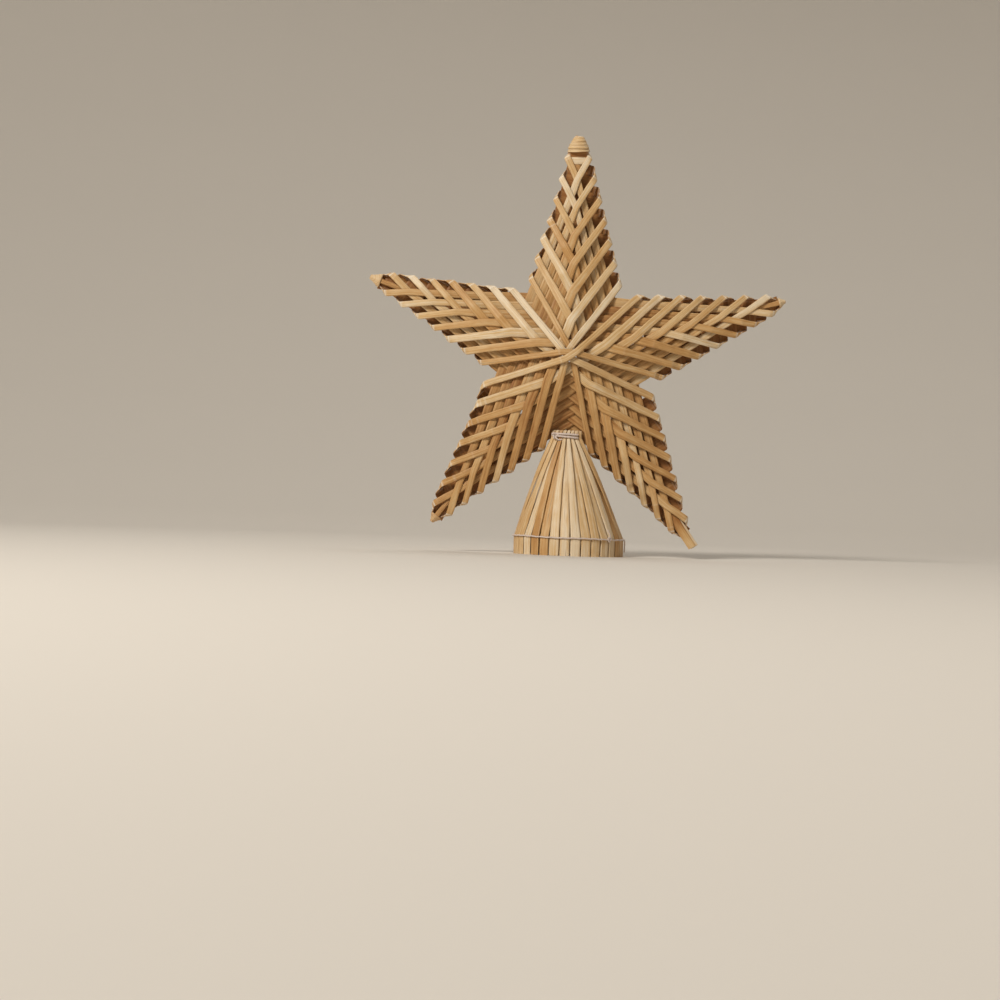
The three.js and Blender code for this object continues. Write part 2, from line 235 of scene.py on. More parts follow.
# %% Make a long tube from a section
def long_tube(name, section, rings):
    """A tube without ends along Z, with its rings 1 apart."""
    deselect()
    bpy.ops.mesh.primitive_circle_add(vertices=len(section), radius=0.5)
    tube = bpy.context.object
    tube.name = name
    for vertex, point in zip(tube.data.vertices, section):
        vertex.co = point

    bpy.ops.object.mode_set(mode="EDIT")
    bpy.ops.mesh.select_all(action="SELECT")
    bpy.ops.mesh.extrude_region_move(TRANSFORM_OT_translate={"value": (0, 0, 1)})
    bpy.ops.object.mode_set(mode="OBJECT")

    repeat = tube.modifiers.new("repeat", "ARRAY")
    repeat.count = rings - 1
    repeat.use_relative_offset = False
    repeat.use_constant_offset = True
    repeat.constant_offset_displace = (0, 0, 1)
    repeat.use_merge_vertices = True
    repeat.merge_threshold = 1e-4
    bpy.ops.object.modifier_apply(modifier="repeat")
    return tube


# %% The section of a straw
RINGS = 250
FLAT_POINTS = 9  # on each flat side
EDGE_POINTS = 2  # on each folded edge
SECTION_POINTS = 2 * (FLAT_POINTS + EDGE_POINTS)
FLAT_REACH = 0.455  # from the middle to a folded edge, as a share of the width
CROWN_FALL = 0.1  # the rest are shares of the thickness
EDGE_HEIGHT = 0.17
RIB_HEIGHT = 0.03
SLIT = (0.84, 0.36)  # the opening's share of the width and of the thickness
SLIT_STEPS = 4


def section_of_straw():
    """Points round a flat tube that is 1 wide and 1 thick, starting on its outer side."""
    points = []
    for side in (1, -1):
        for i in range(FLAT_POINTS):
            x = FLAT_REACH - 2 * FLAT_REACH * i / (FLAT_POINTS - 1)
            rib = RIB_HEIGHT if i % 2 else -RIB_HEIGHT
            crown = 0.5 - CROWN_FALL * (2 * x) ** 2 - CROWN_FALL * (2 * x) ** 8
            points.append((x * side, (crown + rib) * side, 0))
        for j in (1, -1):
            points.append((-0.5 * side, EDGE_HEIGHT * j * side, 0))
    return points


def select_rings(mesh, low, high):
    """Selects the vertices whose place along the straw lies between two values."""
    bpy.ops.object.mode_set(mode="OBJECT")
    for vertex in mesh.vertices:
        vertex.select = low <= vertex.co.z <= high
    for edge in mesh.edges:
        edge.select = all(mesh.vertices[i].select for i in edge.vertices)
    for face in mesh.polygons:
        face.select = False
    bpy.ops.object.mode_set(mode="EDIT")


# %% Model the straw
pattern = long_tube("pattern_straw", section_of_straw(), RINGS)
for end, inwards in ((0, 1), (RINGS - 1, -1)):
    select_rings(pattern.data, end - 0.01, end + 0.01)
    bpy.ops.mesh.extrude_region_move()
    bpy.ops.transform.resize(value=(*SLIT, 1), center_override=(0, 0, end))
    for step in range(SLIT_STEPS):
        bpy.ops.mesh.extrude_region_move(TRANSFORM_OT_translate={"value": (0, 0, inwards)})
    bpy.ops.mesh.edge_face_add()

bpy.ops.mesh.select_all(action="SELECT")
bpy.ops.mesh.normals_make_consistent(inside=False)
bpy.ops.object.mode_set(mode="OBJECT")
bpy.ops.object.shade_smooth_by_angle(angle=math.radians(50))
face_count = len(pattern.data.polygons)
print("pattern straw:", len(pattern.data.vertices), "vertices,", face_count, "faces")

# %% [markdown]
# The finish follows the fibres, so the straw gets a map of its own: u runs along it and v round
# it, both in millimetres. The point where the map closes lies at one folded edge.

# %% Map the straw
PIECE_MAP = "along_piece"
NOMINAL_SIZE = np.array((4.4, 0.95, 0))

pattern_points = np.array([vertex.co for vertex in pattern.data.vertices])
section = np.array(section_of_straw())
round_lengths = np.linalg.norm(np.diff(section * NOMINAL_SIZE, axis=0, append=section[:1]), axis=1)
round_places = np.r_[0, np.cumsum(round_lengths)]

both_sections = np.concatenate([section, section * (*SLIT, 1)])[:, :2]
nearest = np.linalg.norm(pattern_points[:, None, :2] - both_sections[None], axis=2).argmin(axis=1)
section_place = nearest % SECTION_POINTS

straw_map = pattern.data.uv_layers.new(name=PIECE_MAP)
for face in pattern.data.polygons:
    places = [section_place[i] for i in face.vertices]
    closes = len(places) == 4 and max(places) - min(places) > SECTION_POINTS / 2
    for loop, place in zip(face.loop_indices, places):
        wrapped = SECTION_POINTS if closes and place == 0 else place
        ring = pattern.data.vertices[pattern.data.loops[loop].vertex_index].co.z
        straw_map.data[loop].uv = (ring, round_places[wrapped])

in_slit = nearest >= SECTION_POINTS
# Painted shade: the inner side and the slit are marked so that their tone can be darkened.
inside_shade_mask = (pattern_points[:, 1] < 0) | in_slit

for name in ("tone", "crease"):
    pattern.data.attributes.new(name, "FLOAT", "POINT")

loop_rings = np.empty(2 * len(pattern.data.loops))
straw_map.data.foreach_get("uv", loop_rings)
loop_rings = loop_rings.reshape(-1, 2)

# %% [markdown]
# Bending is done point by point. A vertex of the pattern knows its place in the section and its
# ring. The ring gives a place on the line, and the line says where the vertex goes. Rings stand
# closer together in the folds. No two straws are alike, so the width, the lie and the tone wander
# a little along each, by waves that are drawn from the straw's own name.

# %% Bend a straw along its line
FOLD_DENSITY = 5  # how much closer the rings are in a tight fold
EASY_TURN, TIGHT_TURN = 0.25, 0.8  # radians for each millimetre
END_TUCK = 8  # the roll and the wander fade over this much of each end
ROLL_WAVE, WANDER_WAVE, ARCH_WAVE = 60, 45, 50  # millimetres from crest to crest
WIDTH_WAVE, WIDTH_CHANGE = 35, 0.05
DEPTH_WAVE, DEPTH_CHANGE = 20, 0.06
TONE_WAVE, TONE_CHANGE = 90, 0.08
MAP_SPREAD = 900  # millimetres of fibres, of which each straw shows its own stretch


def wave(draw, places, length):
    """A slow wave between about -1 and 1."""
    total = np.zeros_like(places)
    for weight in (0.55, 0.3, 0.15):
        start = draw.uniform(0, math.tau)
        total += weight * np.sin(places * math.tau / (length * draw.uniform(0.7, 1.4)) + start)
        length *= 0.45
    return total


def lay_straw(
    name, line, tone, inside=0, widen=1, thicken=1.1, wander=0.12, roll=4, arch=0.08
):
    """A copy of the pattern straw, bent along a line. Lengths are in millimetres.

    The tone is one number, or one for each sample of the line. The side that faces in may be
    darker by some tones, which is painted shade."""
    draw = random.Random(name)
    place = line["place"]
    whole = place[-1]

    tightness = np.clip((line["turning"] - EASY_TURN) / (TIGHT_TURN - EASY_TURN), 0, 1)
    share = np.cumsum(1 + FOLD_DENSITY * tightness)
    share = (share - share[0]) / (share[-1] - share[0])
    ring_places = np.interp(np.linspace(0, 1, RINGS), share, place)

    tuck = np.clip(np.minimum(place, whole - place) / END_TUCK, 0, 1)
    turn = math.radians(roll) * wave(draw, place, ROLL_WAVE) * tuck
    across = line["across"] * np.cos(turn)[:, None] + line["out"] * np.sin(turn)[:, None]
    out = line["out"] * np.cos(turn)[:, None] - line["across"] * np.sin(turn)[:, None]
    shift = wander * wave(draw, place, WANDER_WAVE) * tuck
    middle = line["middle"] + line["across"] * shift[:, None]
    width = line["width"] * widen * (1 + WIDTH_CHANGE * wave(draw, place, WIDTH_WAVE))
    depth = line["depth"] * thicken * (1 + DEPTH_CHANGE * wave(draw, place, DEPTH_WAVE))
    arching = arch * (1 + wave(draw, place, ARCH_WAVE))

    rings = np.interp(pattern_points[:, 2], np.arange(RINGS), ring_places)

    def at_rings(values):
        if values.ndim == 1:
            return np.interp(rings, place, values)
        return np.stack([np.interp(rings, place, column) for column in values.T], axis=1)

    x = pattern_points[:, 0]
    sideways = x * at_rings(width)
    outwards = pattern_points[:, 1] * at_rings(depth) + at_rings(arching) * (0.5 - (2 * x) ** 2)
    points = at_rings(middle) + at_rings(across) * sideways[:, None]
    points += at_rings(out) * outwards[:, None]

    straw = pattern.copy()
    straw.data = pattern.data.copy()
    straw.name = straw.data.name = name
    bpy.context.scene.collection.objects.link(straw)
    straw.data.vertices.foreach_set("co", (points * MM).ravel())

    # The side that faces in is darkened by some tones: painted shade.
    tones = at_rings(tone + TONE_CHANGE * wave(draw, place, TONE_WAVE)) + inside * inside_shade_mask
    straw.data.attributes["tone"].data.foreach_set("value", np.clip(tones, 0, 1))
    straw.data.attributes["crease"].data.foreach_set("value", at_rings(tightness))
    mapped = loop_rings.copy()
    mapped[:, 0] = np.interp(mapped[:, 0], np.arange(RINGS), ring_places)
    mapped[:, 0] += draw.uniform(0, MAP_SPREAD)
    straw.data.uv_layers[PIECE_MAP].data.foreach_set("uv", mapped.ravel())
    straw.data.update()
    return straw


# %% [markdown]
# ## The finish of straw
#
# Straw is waxy and striped: long fibres of different tones lie side by side, and tiny ribs catch
# the light along them. Where a straw is folded its fibres break and turn pale, and this paling is
# also a painted highlight on the folds. Three node groups hold these effects, and every straw
# material is put together from them with its own values.

# %% Helpers for node groups
def new_group(name, inputs, outputs):
    group = bpy.data.node_groups.new(name, "ShaderNodeTree")
    for kind, default, label in inputs:
        socket = group.interface.new_socket(label, in_out="INPUT", socket_type="NodeSocket" + kind)
        if default is not None:
            socket.default_value = default
    for kind, label in outputs:
        group.interface.new_socket(label, in_out="OUTPUT", socket_type="NodeSocket" + kind)
    return group, group.nodes.new("NodeGroupInput"), group.nodes.new("NodeGroupOutput")


def add_node(tree, kind, **settings):
    node = tree.nodes.new("ShaderNode" + kind)
    for key, value in settings.items():
        setattr(node, key, value)
    return node


def feed(tree, node, **values):
    """Sets or links a node's inputs, which are named with _ for spaces."""
    for key, value in values.items():
        socket = node.inputs[int(key[1:])] if key[0] == "i" and key[1:].isdigit() else None
        socket = socket or node.inputs[key.replace("_", " ")]
        if isinstance(value, bpy.types.NodeSocket):
            tree.links.new(value, socket)
        else:
            socket.default_value = value
    return node


def math_node(tree, operation, first, second=0.0, clamp=False):
    node = add_node(tree, "Math", operation=operation, use_clamp=clamp)
    return feed(tree, node, i0=first, i1=second).outputs[0]


def mix_colours(tree, factor, first, second, blend="MIX"):
    node = add_node(tree, "Mix", data_type="RGBA", blend_type=blend)
    feed(tree, node, i0=factor, i6=first, i7=second)
    return node.outputs[2]


# %% Fibres
def stretched_noise(tree, parts, along, around, **settings):
    """Noise whose grains are this many millimetres long and wide on a straw's map."""
    place = add_node(tree, "CombineXYZ")
    feed(tree, place, X=math_node(tree, "DIVIDE", parts.outputs[0], along))
    feed(tree, place, Y=math_node(tree, "DIVIDE", parts.outputs[1], around))
    noise = add_node(tree, "TexNoise", noise_dimensions="2D")
    return feed(tree, noise, Vector=place.outputs[0], Scale=1.0, **settings).outputs[0]


fibre_group, fibre_in, fibre_out = new_group(
    "straw_fibres",
    [("Vector", None, "Map")],
    [("Float", "Stripes"), ("Float", "Fibres"), ("Float", "Blotches"), ("Float", "Height")],
)
map_parts = add_node(fibre_group, "SeparateXYZ")
feed(fibre_group, map_parts, Vector=fibre_in.outputs["Map"])
stripes = stretched_noise(fibre_group, map_parts, 60.0, 0.9, Detail=2.0, Roughness=0.6)
fibres = stretched_noise(fibre_group, map_parts, 14.0, 0.16, Detail=3.0, Roughness=0.65)
blotches = stretched_noise(fibre_group, map_parts, 9.0, 2.6, Detail=3.0, Roughness=0.55)
ribs = stretched_noise(fibre_group, map_parts, 50.0, 0.34, Detail=1.0, Roughness=0.5)
rib_height = math_node(fibre_group, "MULTIPLY_ADD", ribs, 0.7)
feed(fibre_group, rib_height.node, i2=math_node(fibre_group, "MULTIPLY", fibres, 0.3))
for label, value in (
    ("Stripes", stripes),
    ("Fibres", fibres),
    ("Blotches", blotches),
    ("Height", rib_height),
):
    fibre_group.links.new(value, fibre_out.inputs[label])

# %% Tones
STRAW_TONES = (  # from a bleached straw to one from the foot of the stalk
    (0.0, (0.77, 0.63, 0.44, 1)),
    (0.3, (0.66, 0.45, 0.22, 1)),
    (0.6, (0.54, 0.3, 0.105, 1)),
    (1.0, (0.31, 0.125, 0.028, 1)),
)

tone_group, tone_in, tone_out = new_group(
    "straw_tones",
    [("Float", 0.4, "Tone"), ("Float", 0.5, "Stripes"), ("Float", 0.5, "Fibres"),
     ("Float", 0.5, "Blotches")],
    [("Color", "Colour")],
)


def add_share(tree, total, value, share):
    """Adds a value around 0.5 to a total, as a share of it."""
    shifted = math_node(tree, "SUBTRACT", value, 0.5)
    return math_node(tree, "ADD", total, math_node(tree, "MULTIPLY", shifted, share))


toned = tone_in.outputs["Tone"]
for label, share in (("Stripes", 0.75), ("Fibres", 0.35), ("Blotches", 0.4)):
    toned = add_share(tone_group, toned, tone_in.outputs[label], share)
tone_ramp = add_node(tone_group, "ValToRGB")
ramp = tone_ramp.color_ramp
while len(ramp.elements) < len(STRAW_TONES):
    ramp.elements.new(0.5)
for element, (position, colour) in zip(ramp.elements, STRAW_TONES):
    element.position = position
    element.color = colour
feed(tone_group, tone_ramp, Fac=toned)
tone_group.links.new(tone_ramp.outputs["Color"], tone_out.inputs["Colour"])

# %% Broken fibres in the folds, and a painted highlight on them
# A pale colour for broken fibres in the folds, which also serves as a painted highlight there.
PALE_FIBRE_AND_HIGHLIGHT = (0.86, 0.79, 0.66, 1)
DARK_SPLIT = (0.16, 0.065, 0.018, 1)
CREASE_GAIN, FIBRE_GAIN = 1.2, 1.6
SPLIT_EDGE, SPLIT_FULL = 0.31, 0.25  # values of the stripes where a split starts and is full
SPLIT_DARKNESS = 0.55

fold_group, fold_in, fold_out = new_group(
    "broken_fibres_and_highlight",
    [("Color", None, "Colour"), ("Float", 0.0, "Crease"), ("Float", 0.5, "Fibres"),
     ("Float", 0.5, "Stripes"), ("Float", 0.5, "Whitening")],
    [("Color", "Colour"), ("Float", "Mask")],
)
broken = math_node(fold_group, "MULTIPLY", fold_in.outputs["Crease"], CREASE_GAIN, clamp=True)
broken = math_node(fold_group, "MULTIPLY", broken, fold_in.outputs["Fibres"])
broken = math_node(fold_group, "MULTIPLY", broken, FIBRE_GAIN, clamp=True)
# The folds are mixed towards the pale colour: partly broken fibres, partly a painted highlight.
pale = math_node(fold_group, "MULTIPLY", broken, fold_in.outputs["Whitening"])
paled_and_highlit = mix_colours(fold_group, pale, fold_in.outputs["Colour"], PALE_FIBRE_AND_HIGHLIGHT)
split = add_node(fold_group, "MapRange", interpolation_type="SMOOTHSTEP")
feed(fold_group, split, Value=fold_in.outputs["Stripes"], From_Min=SPLIT_EDGE, From_Max=SPLIT_FULL)
dark = math_node(fold_group, "MULTIPLY", split.outputs[0], SPLIT_DARKNESS)
marked = mix_colours(fold_group, dark, paled_and_highlit, DARK_SPLIT)
fold_group.links.new(marked, fold_out.inputs["Colour"])
fold_group.links.new(broken, fold_out.inputs["Mask"])


# %% Put a straw material together
FIBRE_RELIEF = 0.00025  # metres
ROUGHNESS_SPREAD = 0.24
BROKEN_ROUGHNESS = 0.15  # more, where the fibres are broken


def place_group(tree, group):
    node = tree.nodes.new("ShaderNodeGroup")
    node.node_tree = group
    return node


def straw_material(name, whitening, bump, roughness):
    material = bpy.data.materials.new(name)
    material.use_nodes = True
    tree = material.node_tree
    surface = tree.nodes["Principled BSDF"]
    own_map = add_node(tree, "UVMap", uv_map=PIECE_MAP)
    tone = add_node(tree, "Attribute", attribute_name="tone")
    crease = add_node(tree, "Attribute", attribute_name="crease")

    fibre = feed(tree, place_group(tree, fibre_group), Map=own_map.outputs[0]).outputs
    tones = feed(
        tree,
        place_group(tree, tone_group),
        Tone=tone.outputs["Fac"],
        Stripes=fibre["Stripes"],
        Fibres=fibre["Fibres"],
        Blotches=fibre["Blotches"],
    )
    folds = feed(
        tree,
        place_group(tree, fold_group),
        Colour=tones.outputs[0],
        Crease=crease.outputs["Fac"],
        Fibres=fibre["Fibres"],
        Stripes=fibre["Stripes"],
        Whitening=whitening,
    )
    tree.links.new(folds.outputs["Colour"], surface.inputs["Base Color"])

    rough = math_node(tree, "MULTIPLY_ADD", fibre["Fibres"], ROUGHNESS_SPREAD)
    feed(tree, rough.node, i2=roughness - ROUGHNESS_SPREAD / 2)
    rougher = math_node(tree, "MULTIPLY", folds.outputs["Mask"], BROKEN_ROUGHNESS)
    rough = math_node(tree, "ADD", rough, rougher)
    tree.links.new(rough, surface.inputs["Roughness"])

    relief = add_node(tree, "Bump")
    feed(tree, relief, Strength=bump, Distance=FIBRE_RELIEF, Height=fibre["Height"])
    tree.links.new(relief.outputs[0], surface.inputs["Normal"])
    surface.inputs["Specular IOR Level"].default_value = 0.42
    surface.inputs["Sheen Weight"].default_value = 0.12
    surface.inputs["Sheen Roughness"].default_value = 0.4
    return material


winding_finish = straw_material("winding_straw", whitening=0.8, bump=0.55, roughness=0.5)
skirt_finish = straw_material("skirt_straw", whitening=0.2, bump=0.5, roughness=0.52)


def finish_straw(straw, material, slot, *nodes):
    straw.data.materials.clear()
    straw.data.materials.append(material)
    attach(straw, "root")
    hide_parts(*nodes)


# %% [markdown]
# ## The winding
#
# Thirty-five straws, seven from each arm. Bleached, pale and golden straws are mixed as they came
# to hand, and most change tone along their length, so each has a tone at the arm where it starts
# and another where it ends. Tones run from 0, bleached, to 1, dark gold. The seven straws that
# start at an arm are listed from its tip to the notch.

# %% Tones of the winding straws
ARM_TONES = {
    "top": (
        (0.3, 0.1, 0.35, 0.45, 0.06, 0.35, 0.48),
        (0.5, 0.45, 0.16, 0.28, 0.5, 0.6, 0.66),
    ),
    "right": (
        (0.12, 0.35, 0.38, 0.3, 0.3, 0.2, 0.38),
        (0.62, 0.5, 0.52, 0.45, 0.5, 0.25, 0.28),
    ),
    "lower_right": (
        (0.45, 0.5, 0.5, 0.52, 0.5, 0.36, 0.45),
        (0.35, 0.1, 0.36, 0.46, 0.36, 0.05, 0.02),
    ),
    "lower_left": (
        (0.5, 0.4, 0.62, 0.26, 0.64, 0.66, 0.66),
        (0.12, 0.24, 0.36, 0.36, 0.34, 0.14, 0.04),
    ),
    "left": (
        (0.42, 0.14, 0.3, 0.36, 0.14, 0.46, 0.52),
        (0.25, 0.55, 0.5, 0.14, 0.56, 0.5, 0.5),
    ),
}


def tone_along(line, shares, tones):
    """One tone that turns into another between two shares of a straw's length."""
    return np.interp(line["place"] / line["place"][-1], shares, tones)


# %% [markdown]
# Behind the arms the straws are split and pressed wider, which closes most of each arm's back, and
# the first ones are pressed wide round the hub by all the others. At the hub the last straws are
# woven: the one that crosses all others in the frame was pushed under the next three before it
# dried.

# %% Values for the winding
WINDING_SIZE = (4.4, 0.85)
WINDING_SOFTNESS = 0.32
WINDING_WIDTHS = (0.77, 0.94)  # the least and the most, as shares of a strip's width
INSIDE_SHADE_TONE = 0.6  # painted shade: the side that faces into the star is toned darker by this much
TAIL_REACH = 2.4  # further behind an arm than its strip, to close the edge there
BACK_WIDENING = 1.5
BACK_SHADE_TONE = 0.2  # painted shade: behind the arms the straws are toned a little darker
ARM_DEPTH = 2  # from the star's middle plane to a straw on its front or back

HUB = (-3.8, 119.4)  # sideways and height
HUB_SHIFTS = {
    "straw_lower_left_7": 3.4,
    "straw_right_7": -0.9,
    "straw_left_7": -0.9,
    "straw_lower_right_7": -0.9,
}
HUB_REACH, WIDE_REACH, SHADE_REACH = 13, 52, 64  # from the hub
DEEP_WIDENINGS = (1.35, 1.35, 1.1, 1.0, 0.75, 0.35, 0)  # of the seven courses
# Painted shade: the first courses are toned darker round the hub, where they lie deep under the
# others.
DEEP_SHADE_TONES = (0.45, 0.45, 0.4, 0.34, 0.2, 0.05, 0)


def fading(distances, reach):
    """1 at no distance, and almost nothing at twice the reach."""
    return np.exp(-((distances / reach) ** 2))


# %% Lay the winding straws
winding_nodes = sorted(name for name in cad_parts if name.startswith("straw_"))
for node in winding_nodes:
    arm, course = node.removeprefix("straw_").rsplit("_", 1)
    stations = starting_near(stations_of(node, *WINDING_SIZE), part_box("tip_" + arm))
    line = soften(lengthen(stations, TAIL_REACH), WINDING_SOFTNESS)
    face_towards(line, len(line["place"]) // 2, (0, -1, 0))

    start_tone, end_tone = (tones[int(course) - 1] for tones in ARM_TONES[arm])
    tone = tone_along(line, (0.4, 0.6), (start_tone, end_tone))
    behind = np.interp(line["middle"][:, 1], (0, ARM_DEPTH), (0, 1))
    # Painted shade: the straws behind the arms are toned darker.
    tone = tone + BACK_SHADE_TONE * behind
    line["width"] = line["width"] * (1 + BACK_WIDENING * behind)

    beside_hub = np.linalg.norm(line["middle"][:, ::2] - HUB, axis=1)
    pressed = DEEP_WIDENINGS[int(course) - 1] * fading(beside_hub, WIDE_REACH)
    line["width"] = line["width"] * (1 + pressed)
    # Painted shade: the deep courses are darkened near the hub.
    tone = tone + DEEP_SHADE_TONES[int(course) - 1] * fading(beside_hub, SHADE_REACH)
    line["middle"][:, 1] += HUB_SHIFTS.get(node, 0) * fading(beside_hub, HUB_REACH)

    widen = random.Random("width " + node).uniform(*WINDING_WIDTHS)
    straw = lay_straw("flat_" + node, line, tone, inside=INSIDE_SHADE_TONE, widen=widen)
    finish_straw(straw, winding_finish, "winding_straw", node)
print("winding straws:", len(winding_nodes))

# %% [markdown]
# ## The skirt
#
# The skirt's straws are bent double at the neck, and their legs spread into a cone that bows out a
# little. The outer leg of each lies over the inner one near the neck, so it can be drawn wider
# there than its strip. The two legs of a straw are rarely of one tone.

# %% Lay the skirt straws
SKIRT_SIZE = (5.9, 1.0)
SKIRT_SOFTNESS = 0.7
SKIRT_BOW = 1.2  # outwards, half way up
BOW_HEIGHTS = (12, 70)
WIDTH_HEIGHTS, LEG_WIDTHS = (0, 12, 40, 70), (0.95, 0.95, 1.16, 1.25)
FOOT_SAMPLE = 10
LEG_TONES = (  # of the legs, all round, from the left of the front
    0.4, 0.34, 0.32, 0.12, 0.62, 0.56, 0.2, 0.16, 0.08, 0.24, 0.22, 0.24, 0.1, 0.56, 0.44, 0.4,
    0.3, 0.5, 0.2, 0.35, 0.6, 0.3, 0.15, 0.4, 0.55, 0.25, 0.35, 0.2, 0.5, 0.3, 0.15, 0.45,
)
FIRST_LEG = -83  # degrees from the front


def leg_tone(foot):
    """The tone of the leg that stands at a point."""
    degrees = math.degrees(math.atan2(foot[0], -foot[1]))
    step = 360 / len(LEG_TONES)
    return LEG_TONES[round((degrees - FIRST_LEG) / step) % len(LEG_TONES)]


skirt_nodes = sorted(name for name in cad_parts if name.startswith("skirt_straw"))
for node in skirt_nodes:
    stations = stations_of(node, *SKIRT_SIZE)
    line = soften(stations, SKIRT_SOFTNESS)
    foot = line["middle"][FOOT_SAMPLE]
    face_towards(line, FOOT_SAMPLE, (foot[0], foot[1], 0))

    height = line["middle"][:, 2]
    low, high = BOW_HEIGHTS
    bow = SKIRT_BOW * np.sin(np.pi * np.clip((height - low) / (high - low), 0, 1))
    outwards = unit(line["middle"] * (1, 1, 0))
    line["middle"] = line["middle"] + outwards * bow[:, None]
    line["width"] = line["width"] * np.interp(height, WIDTH_HEIGHTS, LEG_WIDTHS)

    leg_tones = leg_tone(line["middle"][0]), leg_tone(line["middle"][-1])
    tone = tone_along(line, (0.45, 0.55), leg_tones)
    straw = lay_straw("flat_" + node, line, tone, wander=0.1, roll=3)
    finish_straw(straw, skirt_finish, "skirt_straw", node)
print("skirt straws:", len(skirt_nodes))

# %% [markdown]
# ## The tips
#
# Short straws are caught in each tip and folded over it. Four tips end in a small folded head: a
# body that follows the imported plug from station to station, with a step where one layer ends on
# the next. The lower right tip was never folded, so it is a stub of three cut straws.

# %% Read the plugs
TIP_STEMS = {  # width and thickness of each plug's hidden end
    "top": (4.4, 2.8),
    "right": (2.8, 2.8),
    "lower_right": (3.0, 2.8),
    "lower_left": (2.8, 2.8),
    "left": (3.0, 2.8),
}


def plug_of(arm):
    """A plug's stations, from its hidden end outwards, and the way along it."""
    stations = stations_of("tip_" + arm, *TIP_STEMS[arm])
    way = unit(stations[0][-1] - stations[0][0])
    return stations, way


STRAIGHT_STATIONS = 12


def straight_straw(name, start, end, faces, width, depth, tones, **shape):
    """One straw from a point to another, with its flat side facing a way."""
    across = unit(np.cross(np.array(faces), end - start))
    middles = np.linspace(start, end, STRAIGHT_STATIONS)
    sizes = np.ones(STRAIGHT_STATIONS)
    acrosses = np.tile(across, (STRAIGHT_STATIONS, 1))
    stations = (middles, acrosses, sizes * width, sizes * depth)
    line = face_towards(soften(stations, 0.5), 5, faces)
    return lay_straw(name, line, tone_along(line, (0.5, 0.9), tones), **shape)


# %% Lay the stems and the cut stub
STUB_STRAWS = (  # sideways, outwards, width, depth, shorter by, tones at its root and end
    (-0.5, 1.2, 5.0, 1.3, 0.6, (0.95, 0.3)),
    (0.9, 0.0, 4.8, 1.3, 0.0, (0.1, 0.0)),
    (-0.2, -1.2, 5.0, 1.3, 1.2, (0.6, 0.6)),
)
STUB_GATHERING = 0.4  # share of their offsets that the stub's straws keep at their hidden ends
STEM_OFFSET, STEM_THICKNESS, STEM_TONE = 0.65, 1.15, 0.72
FRONT = np.array((0.0, -1.0, 0.0))

for arm in TIP_STEMS:
    (middles, _, widths, _), way = plug_of(arm)
    if arm == "lower_right":
        sideways = np.cross(FRONT, way)
        for i, (side, out, width, depth, shorter, tones) in enumerate(STUB_STRAWS):
            offset = sideways * side + FRONT * out
            start, end = middles[0] + offset * STUB_GATHERING, middles[-1] + offset - way * shorter
            name = f"stub_straw_{i + 1}"
            stub = straight_straw(name, start, end, FRONT, width, depth, tones, wander=0.2)
            finish_straw(stub, winding_finish, "tip_straw", *(["tip_" + arm] if i == 0 else []))
        continue
    for side in (1, -1):
        offset = FRONT * side * STEM_OFFSET
        start, end = middles[0] + offset, middles[2] + offset
        name = f"stem_{arm}_{'front' if side > 0 else 'back'}"
        tones = (STEM_TONE, STEM_TONE)
        stem = straight_straw(
            name, start, end, FRONT * side, widths[0], STEM_THICKNESS, tones
        )
        finish_straw(stem, winding_finish, "tip_straw")

# %% Fold the heads
HEAD_LAYERS = (  # place along the head, and size there, as shares
    (0, 0.8), (0.05, 1.0), (0.34, 1.0), (0.36, 0.9),
    (0.63, 0.92), (0.65, 0.82), (0.94, 0.86), (1, 0.66),
)
HEAD_POINTS = 16
FACET_DEPTH = 0.189  # of a folded head's flat facets; the top one is round


def fold_head(arm):
    """A small closed body round the visible part of a plug, diamond-shaped in section."""
    (middles, _, widths, depths), way = plug_of(arm)
    middles, widths, depths = middles[2:], widths[2:], depths[2:]
    sideways = np.cross(FRONT, way)
    whole = np.linalg.norm(middles[-1] - middles[0])
    stations_at = np.linalg.norm(middles - middles[0], axis=1) / whole

    deselect()
    bpy.ops.mesh.primitive_circle_add(vertices=HEAD_POINTS, radius=0.5, fill_type="NGON")
    head = bpy.context.object
    head.name = "folded_head_" + arm
    bpy.ops.object.mode_set(mode="EDIT")
    bpy.ops.mesh.select_all(action="SELECT")
    place, size = 0, 1
    for next_place, next_size in HEAD_LAYERS:
        if next_place > place:
            rise = {"value": (0, 0, next_place - place)}
            bpy.ops.mesh.extrude_region_move(TRANSFORM_OT_translate=rise)
        grow = next_size / size
        bpy.ops.transform.resize(value=(grow, grow, 1), center_override=(0, 0, next_place))
        place, size = next_place, next_size
    bpy.ops.mesh.select_all(action="SELECT")
    bpy.ops.mesh.normals_make_consistent(inside=False)
    bpy.ops.object.mode_set(mode="OBJECT")

    facet_depth = 0 if arm == "top" else FACET_DEPTH
    for vertex in head.data.vertices:
        x, y, z = vertex.co
        pull = 1 - facet_depth * abs(math.sin(2 * math.atan2(y, x)))
        width, depth = (np.interp(z, stations_at, values) for values in (widths, depths))
        point = middles[0] + way * (z * whole) + sideways * (x * pull * width)
        vertex.co = (point + FRONT * (y * pull * depth)) * MM
    head.data.update()
    return head, sideways, way


def map_flat(piece, along, around):
    """Maps a piece along two ways in space, in millimetres."""
    piece_map = piece.data.uv_layers.get(PIECE_MAP) or piece.data.uv_layers.new(name=PIECE_MAP)
    for loop in piece.data.loops:
        point = np.array(piece.data.vertices[loop.vertex_index].co) / MM
        piece_map.data[loop.index].uv = (point @ along, point @ around)


def set_attribute(piece, name, value):
    attribute = piece.data.attributes.new(name, "FLOAT", "POINT")
    attribute.data.foreach_set("value", np.full(len(piece.data.vertices), value))


HEAD_EDGE = 0.14  # millimetres
HEAD_CREASE = 0.15
HEAD_TONES = {"top": 0.34, "right": 0.3, "lower_left": 0.6, "left": 0.36}

